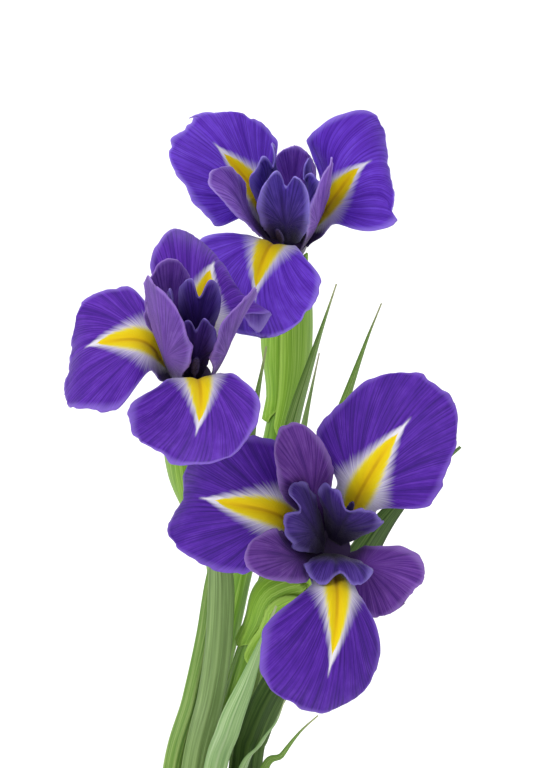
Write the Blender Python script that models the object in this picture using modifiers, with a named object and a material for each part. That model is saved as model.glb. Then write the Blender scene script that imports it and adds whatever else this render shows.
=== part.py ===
"""Three Dutch irises with their leaves in a plain round-bellied vase.

The model stands upright with its origin at the centre of the vase's flat base, +Z up.
Design values are in millimetres and degrees; MM turns them into metres.
Each flower is laid out about its own axis (local +Z out of the throat) and then tipped
forward by its tilt and turned by its yaw: three falls outside, three standards between
them, three style arms over the falls and a stamen between each fall and its style arm.
"""
import math
import bmesh
import bpy
from mathutils import Matrix, Vector

MM = 0.001
NAME = "irises_in_a_vase"

# ------------------------------------------------------------------ driving dimensions
VASE_HEIGHT = 178.0
VASE_WALL = 4.0
VASE_FLOOR = 6.0
VASE_FOOT_RADIUS = 31.0
VASE_BELLY_RADIUS = 45.0
VASE_NECK_RADIUS = 28.5
VASE_TURN_STEPS = 40

STEM_RADIUS = 3.6
TUBE_TOP_RADIUS = 6.2
TUBE_NECK_RADIUS = 3.9
OVARY_RADIUS = 4.5
FOOT_CLEARANCE = 0.5
PETAL_RING_RADIUS = 5.6
STYLE_RING_RADIUS = 2.2
STAMEN_RING_RADIUS = 3.9
FALL_THICKNESS = 0.8
STANDARD_THICKNESS = 0.7
STYLE_THICKNESS = 0.7
BRACT_THICKNESS = 0.7
LEAF_THICKNESS = 1.1

# flower: base point, tilt, yaw.  fall and standard: azimuth about the flower's axis, rise at
# the base / middle / tip, length, width, sideways bend, twist, cup, widest place (0-1),
# uneven width, uneven cup.
FLOWERS = {
    "top": dict(
        base=(26, 0, 384), tilt=34, yaw=1.5,
        falls=[
            dict(azimuth=147, rise=(70, 38, 4), length=52.5, width=44, bend=-13, twist=6,
                 cup=0.02, widest=0.47, uneven=0.08, skew=0.05),
            dict(azimuth=11, rise=(66, 60, -72), length=53, width=40, bend=27, twist=34,
                 cup=0.03, widest=0.57, uneven=-0.06, skew=0.0),
            dict(azimuth=251, rise=(61, 7, 9), length=72, width=42, bend=27, twist=-16,
                 cup=0.07, widest=0.58, uneven=-0.06, skew=0.07)],
        standards=[
            dict(azimuth=83.5, rise=(60, 81, 84), length=33, width=15.5, bend=0, twist=4,
                 cup=0.12, widest=0.55, uneven=0, skew=0),
            dict(azimuth=204, rise=(62, 72, 44), length=51, width=18.5, bend=-1, twist=-18,
                 cup=0.2, widest=0.54, uneven=0, skew=-0.05),
            dict(azimuth=327, rise=(72, 84, 84), length=50, width=17, bend=6, twist=3,
                 cup=0.1, widest=0.55, uneven=0, skew=0)],
        arms=[
            dict(azimuth=147, rise=(76, 84, 96), length=42, width=14.5, bend=0, twist=0,
                 cup=-0.35, widest=0.72, uneven=0, skew=0),
            dict(azimuth=11, rise=(80, 86, 96), length=38, width=13, bend=0, twist=0,
                 cup=-0.35, widest=0.72, uneven=0, skew=0),
            dict(azimuth=260, rise=(72, 82, 104), length=51, width=17, bend=0, twist=0,
                 cup=-0.5, widest=0.62, uneven=0, skew=0)]),
    "left": dict(
        base=(-4, -85, 367), tilt=33, yaw=6,
        falls=[
            dict(azimuth=171, rise=(66, -19, -78), length=51, width=44, bend=-7, twist=-6,
                 cup=0.1, widest=0.5, uneven=0.2, skew=-0.05),
            dict(azimuth=270, rise=(66, 11, 17), length=70, width=38.5, bend=-24, twist=5,
                 cup=0.07, widest=0.61, uneven=-0.09, skew=0.07),
            dict(azimuth=76, rise=(68, 26, -75), length=47, width=44, bend=-16, twist=29,
                 cup=-0.26, widest=0.62, uneven=-0.18, skew=0.05)],
        standards=[
            dict(azimuth=122.5, rise=(66, 80, 84), length=43, width=17, bend=0, twist=-6,
                 cup=0.14, widest=0.54, uneven=0.08, skew=-0.02),
            dict(azimuth=212, rise=(74, 84, 82), length=56, width=25, bend=0, twist=0,
                 cup=0.16, widest=0.56, uneven=0, skew=-0.05),
            dict(azimuth=334, rise=(74, 80, 76), length=52, width=20, bend=-18, twist=0,
                 cup=0.14, widest=0.55, uneven=0, skew=0)],
        arms=[
            dict(azimuth=171, rise=(78, 84, 92), length=40, width=13, bend=0, twist=0,
                 cup=-0.3, widest=0.72, uneven=0, skew=0),
            dict(azimuth=270, rise=(82, 88, 96), length=36, width=12, bend=0, twist=0,
                 cup=-0.3, widest=0.72, uneven=0, skew=0),
            dict(azimuth=76, rise=(78, 86, 94), length=40, width=13, bend=0, twist=0,
                 cup=-0.3, widest=0.72, uneven=0, skew=0)]),
    "front": dict(
        base=(39, -84, 310), tilt=48, yaw=8,
        falls=[
            dict(azimuth=54, rise=(71, 28, 9), length=65, width=43, bend=-18, twist=-7,
                 cup=-0.05, widest=0.49, uneven=0.01, skew=-0.06),
            dict(azimuth=164, rise=(60, -16, -74), length=66, width=43, bend=-24, twist=-19,
                 cup=0.1, widest=0.47, uneven=-0.01, skew=-0.04),
            dict(azimuth=263, rise=(59, -2, -68), length=71, width=38.5, bend=-15, twist=-19,
                 cup=-0.26, widest=0.64, uneven=-0.11, skew=0.0)],
        standards=[
            dict(azimuth=118, rise=(64, 58, 52), length=49, width=19, bend=16, twist=-4,
                 cup=0.2, widest=0.55, uneven=0.05, skew=-0.05),
            dict(azimuth=211, rise=(58, 56, 34), length=49, width=18, bend=-12, twist=-8,
                 cup=0.16, widest=0.52, uneven=0.05, skew=-0.06),
            dict(azimuth=314, rise=(50, 8, -30), length=27, width=25, bend=0, twist=8,
                 cup=0.14, widest=0.7, uneven=0.06, skew=0.04)],
        arms=[
            dict(azimuth=54, rise=(84, 88, 84), length=31, width=22, bend=0, twist=0,
                 cup=-0.3, widest=0.7, uneven=0, skew=0),
            dict(azimuth=164, rise=(73, 62, 54), length=35, width=21, bend=0, twist=0,
                 cup=-0.1, widest=0.66, uneven=0, skew=0),
            dict(azimuth=264, rise=(67, 62, -8), length=32, width=21, bend=0, twist=0,
                 cup=-0.14, widest=0.74, uneven=0, skew=0)]),
}

# stems: points from just under the tube down to just above the vase's mouth
STEMS = {
    "top": [(25, 18, 332), (22, 17, 313), (16, 14, 286), (10, 12, 260), (5, 10, 236),
            (0, 9, 217), (-6, 8.5, 189)],
    "left": [(-2, -56, 313), (3, -44, 285), (2.5, -33, 257), (-1, -21, 229), (-9.5, -6.5, 190)],
    "front": [(24, -56, 283), (18.5, -49, 271), (13, -41, 257), (7, -28, 231), (-1.5, -8, 190)],
}

# leaves: blade width, facing angle, points from the tip down to the vase's mouth
LEAVES = {
    "leaf_01": (7.0, 10, [(19, -81, 376), (14, -70, 344), (10, -61, 314), (3, -52, 287),
                          (-1, -41, 260), (-6, -31, 233), (-14.5, -13, 190)]),
    "leaf_02": (6.5, 25, [(41, -50, 386), (34, -43, 360), (27, -36, 331), (24, -29, 304),
                          (21, -23, 280), (15, -17, 256), (9, -10, 231), (-1, -0.5, 190)]),
    "leaf_03": (5.5, -20, [(36, -22, 353), (31, -18, 326), (28, -15, 306), (25, -11, 283),
                           (20, -8, 259), (14, -4, 231), (7.5, 1, 190)]),
    "leaf_04": (6.0, 15, [(57, 5, 361), (51, 6, 344), (40, 8, 308), (34, 9, 285),
                          (28, 11, 259), (22, 12, 232), (9, 14, 190)]),
    "leaf_05": (4.5, 0, [(31, 17, 310), (29, 17, 293), (26, 17, 271), (20, 17, 244),
                         (12, 17, 214), (1, 17, 190)]),
    "leaf_06": (11.0, -15, [(81, -50, 331), (68, -44, 316), (56, -39, 299), (45, -31, 276),
                            (33, -22, 251), (21, -13, 228), (14, -6, 208), (11, -2.5, 190)]),
    "leaf_07": (9.0, -8, [(-8, -79, 344), (-3, -70, 324), (2, -68, 306), (4, -60, 290),
                          (3, -50, 263), (0, -38, 237), (-7.5, -15.5, 190)]),
    "leaf_08": (6.0, 0, [(7, -11, 283), (4, -8, 259), (-3, -3, 227), (-13, 2, 190)]),
    "leaf_09": (8.0, -5, [(22, -74, 286), (17, -64, 268), (12, -54, 249), (6, -42, 227),
                          (-0.5, -19.5, 190)]),
    "leaf_10": (6.0, 35, [(25, -39, 237), (22, -34, 226), (17, -28, 215), (9, -16, 190)]),
    "leaf_11": (5.5, -25, [(36, -31, 227), (30, -27, 219), (24, -22, 208), (16, -13, 190)]),
}

# colours (linear) and roughness of each material
VIOLET = (0.105, 0.022, 0.345, 1)
MAUVE = (0.190, 0.052, 0.430, 1)
BLUE_VIOLET = (0.085, 0.040, 0.360, 1)
POLLEN = (0.560, 0.420, 0.180, 1)
SPATHE_GREEN = (0.330, 0.470, 0.110, 1)
STEM_GREEN = (0.145, 0.270, 0.030, 1)
LEAF_GREEN = (0.190, 0.320, 0.080, 1)
STONEWARE = (0.500, 0.440, 0.360, 1)

PETAL_STEPS = (0.0, 0.09, 0.18, 0.27, 0.36, 0.46, 0.57, 0.68, 0.79, 0.89, 0.985)


# ------------------------------------------------------------------ helpers
def clear_scene():
    for old in list(bpy.data.objects):
        bpy.data.objects.remove(old, do_unlink=True)


def material(name, colour, roughness=0.5):
    mat = bpy.data.materials.get(name) or bpy.data.materials.new(name)
    mat.use_nodes = True
    shader = mat.node_tree.nodes["Principled BSDF"]
    shader.inputs["Base Color"].default_value = colour
    shader.inputs["Roughness"].default_value = roughness
    return mat


def smooth(x):
    x = min(1.0, max(0.0, x))
    return x * x * (3.0 - 2.0 * x)


def loft(name, rows, mat, closed=False, thickness=0.0):
    """Skin equal rows of points; rings are capped, open sheets get a thickness."""
    count = len(rows[0])
    mesh_data = bmesh.new()
    verts = [[mesh_data.verts.new(Vector(p) * MM) for p in row] for row in rows]
    span = count if closed else count - 1
    for a, b in zip(verts, verts[1:]):
        for i in range(span):
            j = (i + 1) % count
            mesh_data.faces.new((a[i], a[j], b[j], b[i]))
    if closed:
        mesh_data.faces.new(verts[0][::-1])
        mesh_data.faces.new(verts[-1])
    bmesh.ops.recalc_face_normals(mesh_data, faces=mesh_data.faces[:])
    mesh = bpy.data.meshes.new(name)
    mesh_data.to_mesh(mesh)
    mesh_data.free()
    for face in mesh.polygons:
        face.use_smooth = True
    mesh.materials.append(mat)
    piece = bpy.data.objects.new(name, mesh)
    home.objects.link(piece)
    if thickness:
        solid = piece.modifiers.new("thickness", "SOLIDIFY")
        solid.thickness = thickness * MM
        solid.offset = 0.0
        solid.use_even_offset = False
    return piece


def through(points, samples):
    """Points spread evenly along a smooth curve through the given ones."""
    pts = [Vector(p) for p in points]
    ends = [pts[0] * 2 - pts[1]] + pts + [pts[-1] * 2 - pts[-2]]
    fine = []
    for a, b, c, d in zip(ends, ends[1:], ends[2:], ends[3:]):
        for step in range(12):
            t = step / 12.0
            fine.append(0.5 * (2 * b + (c - a) * t + (2 * a - 5 * b + 4 * c - d) * t * t
                               + (3 * b - a - 3 * c + d) * t ** 3))
    fine.append(pts[-1])
    run = [0.0]
    for a, b in zip(fine, fine[1:]):
        run.append(run[-1] + (b - a).length)
    out = []
    k = 0
    for i in range(samples):
        goal = run[-1] * i / (samples - 1)
        while k < len(run) - 2 and run[k + 1] < goal:
            k += 1
        out.append(fine[k].lerp(fine[k + 1], (goal - run[k]) / (run[k + 1] - run[k])))
    return out, run[-1]


def tangents(path):
    last = len(path) - 1
    return [(path[min(i + 1, last)] - path[max(i - 1, 0)]).normalized()
            for i in range(len(path))]


def foot_of(mouth):
    """Where a strand that crosses the mouth at this point stands on the vase's floor."""
    x, y = mouth[0] * 0.85 - 6.0, mouth[1] * 0.85 + 2.0
    return [(x * 0.55 + mouth[0] * 0.45 - 3.0, y * 0.5 + mouth[1] * 0.5, 100.0),
            (x, y, VASE_FLOOR + FOOT_CLEARANCE)]


# ------------------------------------------------------------------ flower parts
def flower_frame(flower):
    turn = (Matrix.Rotation(math.radians(flower["yaw"]), 4, "Z")
            @ Matrix.Rotation(math.radians(flower["tilt"]), 4, "X"))
    return Matrix.Translation(Vector(flower["base"])) @ turn


def blade_rows(shape, ring, lift, base_width, haft, widen, columns, steps, bend_from):
    """Rows across a petal: a spine that rises and droops, carrying a width, twist and cup."""
    e0, e1, e2 = shape["rise"]
    knee, drop = widen[0], widen[1]
    slices = 40
    at = Vector((ring, 0.0, lift))
    spine = []
    for i in range(slices + 1):
        v = i / slices
        rise = math.radians(e0 + (e1 - e0) * smooth((v - knee) / (drop - knee))
                            + (e2 - e1) * smooth((v - drop) / (1.0 - drop)))
        bend = math.radians(shape["bend"]) * smooth((v - bend_from) / (1.0 - bend_from))
        along = Vector((math.cos(rise) * math.cos(bend), math.cos(rise) * math.sin(bend),
                        math.sin(rise)))
        side = Vector((-math.sin(bend), math.cos(bend), 0.0))
        spine.append((at.copy(), along, side))
        at = at + along * (shape["length"] / slices)
    turn = Matrix.Rotation(math.radians(shape["azimuth"]), 4, "Z")
    rows = []
    for v in steps:
        centre, along, side = spine[min(slices, round(v * slices))]
        if v > 0.97:
            centre = spine[slices - 1][0].lerp(spine[slices][0], (v - 0.975) / 0.025)
        up = along.cross(side)
        twist = math.radians(shape["twist"]) * smooth((v - 0.2) / 0.5)
        side, up = (side * math.cos(twist) + up * math.sin(twist),
                    up * math.cos(twist) - side * math.sin(twist))
        half = 0.5 * shape["width"]
        widest = shape["widest"]
        if v > widest:
            half *= math.sqrt(max(0.0, 1.0 - ((v - widest) / (1.0 - widest)) ** 2.3))
        else:
            half *= haft + (1.0 - haft) * smooth((v - widen[2]) / (widest - widen[2]))
        root = smooth(v / 0.22)
        half = 0.5 * base_width * (1.0 - root) + half * root
        row = []
        for i in range(columns + 1):
            u = 2.0 * i / columns - 1.0
            reach = half * (1.0 + shape["uneven"] * u * root)
            curl = (shape["cup"] * u * u + shape["skew"] * u * abs(u)) * reach * root
            row.append(turn @ (centre + side * (u * reach) + up * curl))
        rows.append(row)
    return rows


def placed(rows, frame):
    return [[frame @ p for p in row] for row in rows]


def add_flower(which, flower):
    frame = flower_frame(flower)
    violet = material("fall_violet", VIOLET, 0.55)
    mauve = material("standard_mauve", MAUVE, 0.55)
    crest = material("style_blue_violet", BLUE_VIOLET, 0.55)
    pollen = material("stamen_cream", POLLEN, 0.7)
    for n, fall in enumerate(flower["falls"], 1):
        rows = blade_rows(fall, PETAL_RING_RADIUS, 0.0, 4.6, 0.22, (0.22, 0.52, 0.29), 6,
                          PETAL_STEPS, 0.35)
        loft(f"fall_{which}_{n}", placed(rows, frame), violet, thickness=FALL_THICKNESS)

        # style arm: stands over the haft and ends in a crest
        rows = blade_rows(flower["arms"][n - 1], STYLE_RING_RADIUS, 1.0, 3.0, 0.55,
                          (0.15, 0.54, 0.12), 4,
                          (0.0, 0.14, 0.3, 0.46, 0.6, 0.72, 0.84, 0.93, 0.985), 0.9)
        loft(f"style_{which}_{n}", placed(rows, frame), crest, thickness=STYLE_THICKNESS)

        # stamen: a thin filament with a flat anther, between the haft and the style arm
        turn = Matrix.Rotation(math.radians(fall["azimuth"]), 4, "Z")
        lean = math.radians(0.3 * fall["rise"][0] + 0.7 * flower["arms"][n - 1]["rise"][0] - 1)
        rings = []
        for run, wide, deep in ((0.4, 0.5, 0.5), (6, 0.5, 0.5), (11, 0.5, 0.5),
                                (12.5, 1.1, 0.55), (18, 1.2, 0.6), (22, 0.9, 0.5),
                                (23.5, 0.4, 0.3)):
            centre = Vector((STAMEN_RING_RADIUS + run * math.cos(lean), 0, run * math.sin(lean)))
            flat = Vector((-math.sin(lean), 0, math.cos(lean)))
            rings.append([turn @ (centre + Vector((0, 1, 0)) * (wide * math.cos(a))
                                  + flat * (deep * math.sin(a)))
                          for a in (math.tau * k / 6 for k in range(6))])
        loft(f"stamen_{which}_{n}", placed(rings, frame), pollen, closed=True)
    for n, standard in enumerate(flower["standards"], 1):
        rows = blade_rows(standard, PETAL_RING_RADIUS, 0.8, 3.0, 0.25, (0.10, 0.50, 0.20), 4,
                          PETAL_STEPS, 0.05)
        loft(f"standard_{which}_{n}", placed(rows, frame), mauve,
             thickness=STANDARD_THICKNESS)
    return frame


def add_stem(which, frame, waypoints):
    """Stem, ovary and petal tube as one round skin from the vase's floor to the throat."""
    axis_points = [frame @ Vector((0, 0, -z)) for z in (0.9, 7.0, 16.0, 26.0)]
    points = axis_points + [Vector(p) for p in waypoints] + foot_of(waypoints[-1])
    path, length = through(points, 44)
    rings = []
    ways = tangents(path)
    for i, (centre, way) in enumerate(zip(path, ways)):
        down = length * i / (len(path) - 1)
        if down < 8.0:
            radius = TUBE_TOP_RADIUS + (TUBE_NECK_RADIUS - TUBE_TOP_RADIUS) * smooth(down / 7.5)
        elif down < 36.0:
            radius = TUBE_NECK_RADIUS + (OVARY_RADIUS - TUBE_NECK_RADIUS) * math.sin(
                math.pi * (down - 8.0) / 28.0)
        else:
            radius = STEM_RADIUS
        side = way.cross(Vector((0, 1, 0))).normalized()
        front = side.cross(way)
        rings.append([centre + (side * math.cos(a) + front * math.sin(a)) * radius
                      for a in (math.tau * k / 10 for k in range(10))])
    loft(f"stem_{which}", rings, material("stem_green", STEM_GREEN, 0.5), closed=True)
    return path, length


def add_bracts(which, path, length):
    """Two green bracts that sheathe the stem's top and end under the petals."""
    ways = tangents(path)
    per_step = length / (len(path) - 1)
    for n, (turned, top, bottom, gap) in enumerate(((0.0, 7.0, 84.0, 1.0),
                                                    (180.0, 12.0, 74.0, 1.0)), 1):
        rows = []
        count = 12
        for i in range(count + 1):
            t = i / count
            down = top + (bottom - top) * t
            k = down / per_step
            low = int(k)
            centre = path[low].lerp(path[low + 1], k - low)
            way = ways[low]
            side = way.cross(Vector((0, 1, 0))).normalized()
            front = side.cross(way)
            swell = 2.6 * math.sin(math.pi * min(1.0, t * 1.15)) if t < 0.87 else 0.0
            radius = OVARY_RADIUS + gap + swell - (OVARY_RADIUS - STEM_RADIUS) * smooth(t * 3 - 1.6)
            reach = math.radians(74.0) * (smooth(t * 2.2 + 0.06) * 0.92 + 0.08)
            row = []
            for j in range(5):
                a = math.radians(turned) + reach * (j / 2.0 - 1.0)
                row.append(centre + (side * math.cos(a) + front * math.sin(a)) * radius)
            rows.append(row)
        loft(f"bract_{which}_{n}", rows, material("bract_green", SPATHE_GREEN, 0.5),
             thickness=BRACT_THICKNESS)


def add_leaf(name, width, facing, waypoints):
    """A long tapering blade, folded a little along its midrib."""
    path, length = through([Vector(p) for p in waypoints] + foot_of(waypoints[-1]), 24)
    rows = []
    for i, (centre, way) in enumerate(zip(path, tangents(path))):
        t = i / (len(path) - 1)
        face = Vector((math.sin(math.radians(facing)), -math.cos(math.radians(facing)), 0))
        side = way.cross(face).normalized()
        front = side.cross(way).normalized()
        taper = 0.5 * width * (0.09 + 0.91 * smooth(t * length / 75.0 + 0.02))
        taper *= 1.0 - 0.35 * smooth((t - 0.62) / 0.3)
        fold = 0.16 * taper
        rows.append([centre - side * taper - front * fold, centre + front * fold,
                     centre + side * taper - front * fold])
    loft(name, rows, material("leaf_green", LEAF_GREEN, 0.5), thickness=LEAF_THICKNESS)


def add_vase():
    """Turned vase: flat foot, round belly, straight neck, rounded lip, one open cavity."""
    outer = [(VASE_NECK_RADIUS + 0.8, VASE_HEIGHT - 2.0), (VASE_NECK_RADIUS + 0.3, 170),
             (VASE_NECK_RADIUS, 157), (32.0, 138), (38.5, 117), (43.5, 93),
             (VASE_BELLY_RADIUS, 72), (43.5, 50), (39.5, 28), (VASE_FOOT_RADIUS + 3.0, 8),
             (VASE_FOOT_RADIUS + 1.0, 1.2), (VASE_FOOT_RADIUS, 0.0), (0.0, 0.0)]
    inner = [(0.0, VASE_FLOOR), (28.0, VASE_FLOOR), (31.5, 12), (35.5, 28), (39.5, 50),
             (41.0, 72), (39.5, 93), (34.5, 117), (28.0, 138),
             (VASE_NECK_RADIUS - VASE_WALL, 157), (VASE_NECK_RADIUS - VASE_WALL + 0.3, 170),
             (VASE_NECK_RADIUS - VASE_WALL + 0.9, VASE_HEIGHT - 2.0),
             (VASE_NECK_RADIUS - VASE_WALL + 2.0, VASE_HEIGHT - 0.3),
             (VASE_NECK_RADIUS - 0.6, VASE_HEIGHT - 0.3)]
    profile = inner + outer
    mesh = bpy.data.meshes.new("vase")
    mesh.from_pydata([(r * MM, 0.0, z * MM) for r, z in profile],
                     [(i, i + 1) for i in range(len(profile) - 1)], [])
    vase = bpy.data.objects.new("vase", mesh)
    home.objects.link(vase)
    screw = vase.modifiers.new("turn", "SCREW")
    screw.steps = screw.render_steps = VASE_TURN_STEPS
    screw.use_merge_vertices = True
    screw.merge_threshold = 0.00005
    screw.use_smooth_shade = True
    mesh.materials.append(material("vase_stoneware", STONEWARE, 0.3))


# ------------------------------------------------------------------ the piece
clear_scene()
home = bpy.data.collections.new(NAME)
bpy.context.scene.collection.children.link(home)

add_vase()
for which, flower in FLOWERS.items():
    frame = add_flower(which, flower)
    stem_path, stem_length = add_stem(which, frame, STEMS[which])
    add_bracts(which, stem_path, stem_length)
for name, (width, facing, waypoints) in LEAVES.items():
    add_leaf(name, width, facing, waypoints)
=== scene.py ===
import math
import random
import bpy
from mathutils import Matrix, Vector


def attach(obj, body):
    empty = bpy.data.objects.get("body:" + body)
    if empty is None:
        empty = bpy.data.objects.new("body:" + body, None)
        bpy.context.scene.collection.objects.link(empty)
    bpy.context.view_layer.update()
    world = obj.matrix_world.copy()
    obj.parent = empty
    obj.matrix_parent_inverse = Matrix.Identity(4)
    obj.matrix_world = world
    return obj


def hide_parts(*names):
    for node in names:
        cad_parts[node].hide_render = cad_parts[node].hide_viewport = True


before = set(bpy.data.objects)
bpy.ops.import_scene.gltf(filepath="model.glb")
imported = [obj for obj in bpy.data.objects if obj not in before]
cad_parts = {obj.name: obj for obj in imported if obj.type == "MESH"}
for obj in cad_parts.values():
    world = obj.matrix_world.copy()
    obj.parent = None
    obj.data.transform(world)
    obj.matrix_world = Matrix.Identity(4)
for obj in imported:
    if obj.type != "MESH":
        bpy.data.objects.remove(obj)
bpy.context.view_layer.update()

# ---------------------------------------------------------------- vase
# A thrown stoneware vase, 178 mm tall, with a round belly and a plain neck. The clay is
# covered with a warm off-white glaze that stops just above the bare foot it stands on.
MM = 0.001


def linear(code):
    """An sRGB hex colour as linear RGBA."""
    out = []
    for k in (1, 3, 5):
        c = int(code[k:k + 2], 16) / 255.0
        out.append(c / 12.92 if c <= 0.04045 else ((c + 0.055) / 1.055) ** 2.4)
    return (*out, 1.0)


def node(tree, kind, values=None, links=None, stops=(), **settings):
    """Adds one node with its settings, plain values, colour stops and what feeds it.

    What feeds it is an output, or a node that stands for its own first output.
    """
    made = tree.nodes.new(kind)
    for key, value in settings.items():
        setattr(made, key, value)
    for key, value in (values or {}).items():
        made.inputs[key].default_value = value
    for n, (place, code) in enumerate(stops):
        ends = made.color_ramp.elements
        end = ends[n] if n < len(ends) else ends.new(1.0)
        end.position, end.color = place, linear(code)
    for key, source in (links or {}).items():
        source = source.outputs[0] if isinstance(source, bpy.types.Node) else source
        tree.links.new(source, made.inputs[key])
    return made


def blank_material(name):
    """A material with only its output, and that output."""
    mat = bpy.data.materials.new(name)
    mat.use_nodes = True
    mat.node_tree.nodes.clear()
    return mat, node(mat.node_tree, "ShaderNodeOutputMaterial")


def put(name, data):
    """A new object in the scene."""
    made = bpy.data.objects.new(name, data)
    bpy.context.scene.collection.objects.link(made)
    return made


def smooth_mesh(name, verts, faces):
    mesh = bpy.data.meshes.new(name)
    mesh.from_pydata(verts, [], faces)
    mesh.shade_smooth()
    return mesh


def link_piece(name, mesh, cad_nodes):
    """Puts a finished piece in the scene in place of its CAD nodes."""
    piece = put(name, mesh)
    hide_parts(*cad_nodes)
    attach(piece, "root")
    return piece


# glazed stoneware: cloudy off-white glaze with fine iron specks, glossy; the bare foot is
# dry, sandy clay
glazed_stoneware, out = blank_material("stoneware_with_off_white_glaze")
tree = glazed_stoneware.node_tree
place = node(tree, "ShaderNodeTexCoord")
cloud = node(tree, "ShaderNodeTexNoise", {"Scale": 28.0, "Detail": 4.0, "Roughness": 0.55},
             {"Vector": place.outputs["Object"]})
tone = node(tree, "ShaderNodeValToRGB", links={"Fac": cloud.outputs["Fac"]},
            stops=((0.30, "#B5AA99"), (0.70, "#CBC2B2")))
specks = node(tree, "ShaderNodeTexVoronoi", {"Scale": 260.0, "Randomness": 1.0},
              {"Vector": place.outputs["Object"]})
speck = node(tree, "ShaderNodeMapRange",
             {"From Min": 0.10, "From Max": 0.18, "To Min": 1.0, "To Max": 0.0},
             {"Value": specks.outputs["Distance"]})
rare = node(tree, "ShaderNodeTexNoise", {"Scale": 90.0, "Detail": 1.0},
            {"Vector": place.outputs["Object"]})
few = node(tree, "ShaderNodeMapRange", {"From Min": 0.52, "From Max": 0.60},
           {"Value": rare.outputs["Fac"]})
speck_mask = node(tree, "ShaderNodeMath", links={0: speck, 1: few}, operation="MULTIPLY")
glaze = node(tree, "ShaderNodeMix", {7: linear("#7B634A")},
             {"Factor": speck_mask, 6: tone.outputs["Color"]}, data_type="RGBA")
height = node(tree, "ShaderNodeSeparateXYZ", links={0: place.outputs["Object"]})
glaze_line = node(tree, "ShaderNodeMath", {1: 0.0012, 2: 0.0036}, {0: cloud.outputs["Fac"]},
                  operation="MULTIPLY_ADD")
bare = node(tree, "ShaderNodeMath", links={0: height.outputs["Z"], 1: glaze_line},
            operation="LESS_THAN")
skin = node(tree, "ShaderNodeMix", {7: linear("#A58A6B")}, {"Factor": bare, 6: glaze.outputs[2]},
            data_type="RGBA")
rough = node(tree, "ShaderNodeMapRange", {"To Min": 0.24, "To Max": 0.82}, {"Value": bare})
throwing = node(tree, "ShaderNodeTexWave", {"Scale": 95.0, "Distortion": 1.2, "Detail": 2.0},
                {"Vector": place.outputs["Object"]}, bands_direction="Z")
relief = node(tree, "ShaderNodeBump", {"Strength": 0.12, "Distance": 0.0006},
              {"Height": throwing.outputs["Fac"]})
clay = node(tree, "ShaderNodeBsdfPrincipled", {"IOR": 1.52},
            {"Base Color": skin.outputs[2], "Roughness": rough, "Normal": relief})
tree.links.new(clay.outputs[0], out.inputs["Surface"])


def turned(profile, steps):
    """A closed turned form from a profile of (radius, height) that starts and ends on the axis."""
    verts, faces, rings = [], [], []
    for r, z in profile:
        if r == 0.0:
            rings.append([len(verts)] * steps)
            verts.append((0.0, 0.0, z * MM))
        else:
            rings.append(list(range(len(verts), len(verts) + steps)))
            verts += [(r * MM * math.cos(math.tau * k / steps),
                       r * MM * math.sin(math.tau * k / steps), z * MM) for k in range(steps)]
    for low, high in zip(rings, rings[1:]):
        for k in range(steps):
            j = (k + 1) % steps
            ring = [low[k], high[k], high[j], low[j]]
            ring = [p for n, p in enumerate(ring) if p not in ring[:n]]
            faces.append(ring)
    return smooth_mesh("turned", verts, faces)


def curve_at(a, b, c, d, t):
    """The smooth curve from b to c, a share t of the way, with its neighbours a and d."""
    return 0.5 * (2 * b + (c - a) * t + (2 * a - 5 * b + 4 * c - d) * t * t
                  + (3 * b - a - 3 * c + d) * t ** 3)


def rounded(profile, parts):
    """The profile with extra points on a smooth curve between the given ones."""
    out = []
    ends = [profile[0]] + list(profile) + [profile[-1]]
    for a, b, c, d in zip(ends, ends[1:], ends[2:], ends[3:]):
        for step in range(parts):
            out.append(tuple(curve_at(*along, step / parts) for along in zip(a, b, c, d)))
    return out + [profile[-1]]


inside = [(28, 6), (31.5, 12), (35.5, 28), (39.5, 50), (41, 72), (39.5, 93), (34.5, 117),
          (28, 138), (24.5, 157), (24.8, 170), (25.4, 176)]
outside = [(29.3, 176), (28.8, 170), (28.5, 157), (32, 138), (38.5, 117), (43.5, 93), (45, 72),
           (43.5, 50), (39.5, 28), (34, 8), (32, 1.2)]
lip = [(26.0, 177.2), (26.8, 177.9), (27.7, 177.9), (28.6, 177.2)]
vase_mesh = turned([(0, 6), (14, 6)] + rounded(inside, 4) + lip + rounded(outside, 4)
                   + [(31.4, 0.3), (31, 0), (15, 0), (0, 0)], 96)
vase_mesh.materials.append(glazed_stoneware)
link_piece("stoneware_vase", vase_mesh, ["vase"])

# ---------------------------------------------------------------- flowers: how they stand
# Each iris is laid out about its own axis and tipped towards the front, as cut flowers lean
# out of a vase. Its place is the middle of the ring where the petals leave the tube.
STANCE = {"top": ((26, 0, 384), 34, 1.5), "left": ((-4, -85, 367), 33, 6),
          "front": ((39, -84, 310), 48, 8)}


def smooth(x):
    x = min(1.0, max(0.0, x))
    return x * x * (3.0 - 2.0 * x)


def stance(which):
    base, tilt, yaw = STANCE[which]
    return (Matrix.Translation(Vector(base)) @ Matrix.Rotation(math.radians(yaw), 4, "Z")
            @ Matrix.Rotation(math.radians(tilt), 4, "X"))


# ---------------------------------------------------------------- stems
# Round fleshy stems. Each runs from the vase's floor up through a slightly fatter ovary to
# the short violet tube that closes over the petals' feet; the skin is smooth, finely ribbed.
STEMS = {
    "top": [(25, 18, 332), (22, 17, 313), (16, 14, 286), (10, 12, 260), (5, 10, 236),
            (0, 9, 217), (-6, 8.5, 189)],
    "left": [(-2, -56, 313), (3, -44, 285), (2.5, -33, 257), (-1, -21, 229), (-9.5, -6.5, 190)],
    "front": [(24, -56, 283), (18.5, -49, 271), (13, -41, 257), (7, -28, 231), (-1.5, -8, 190)],
}


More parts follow.
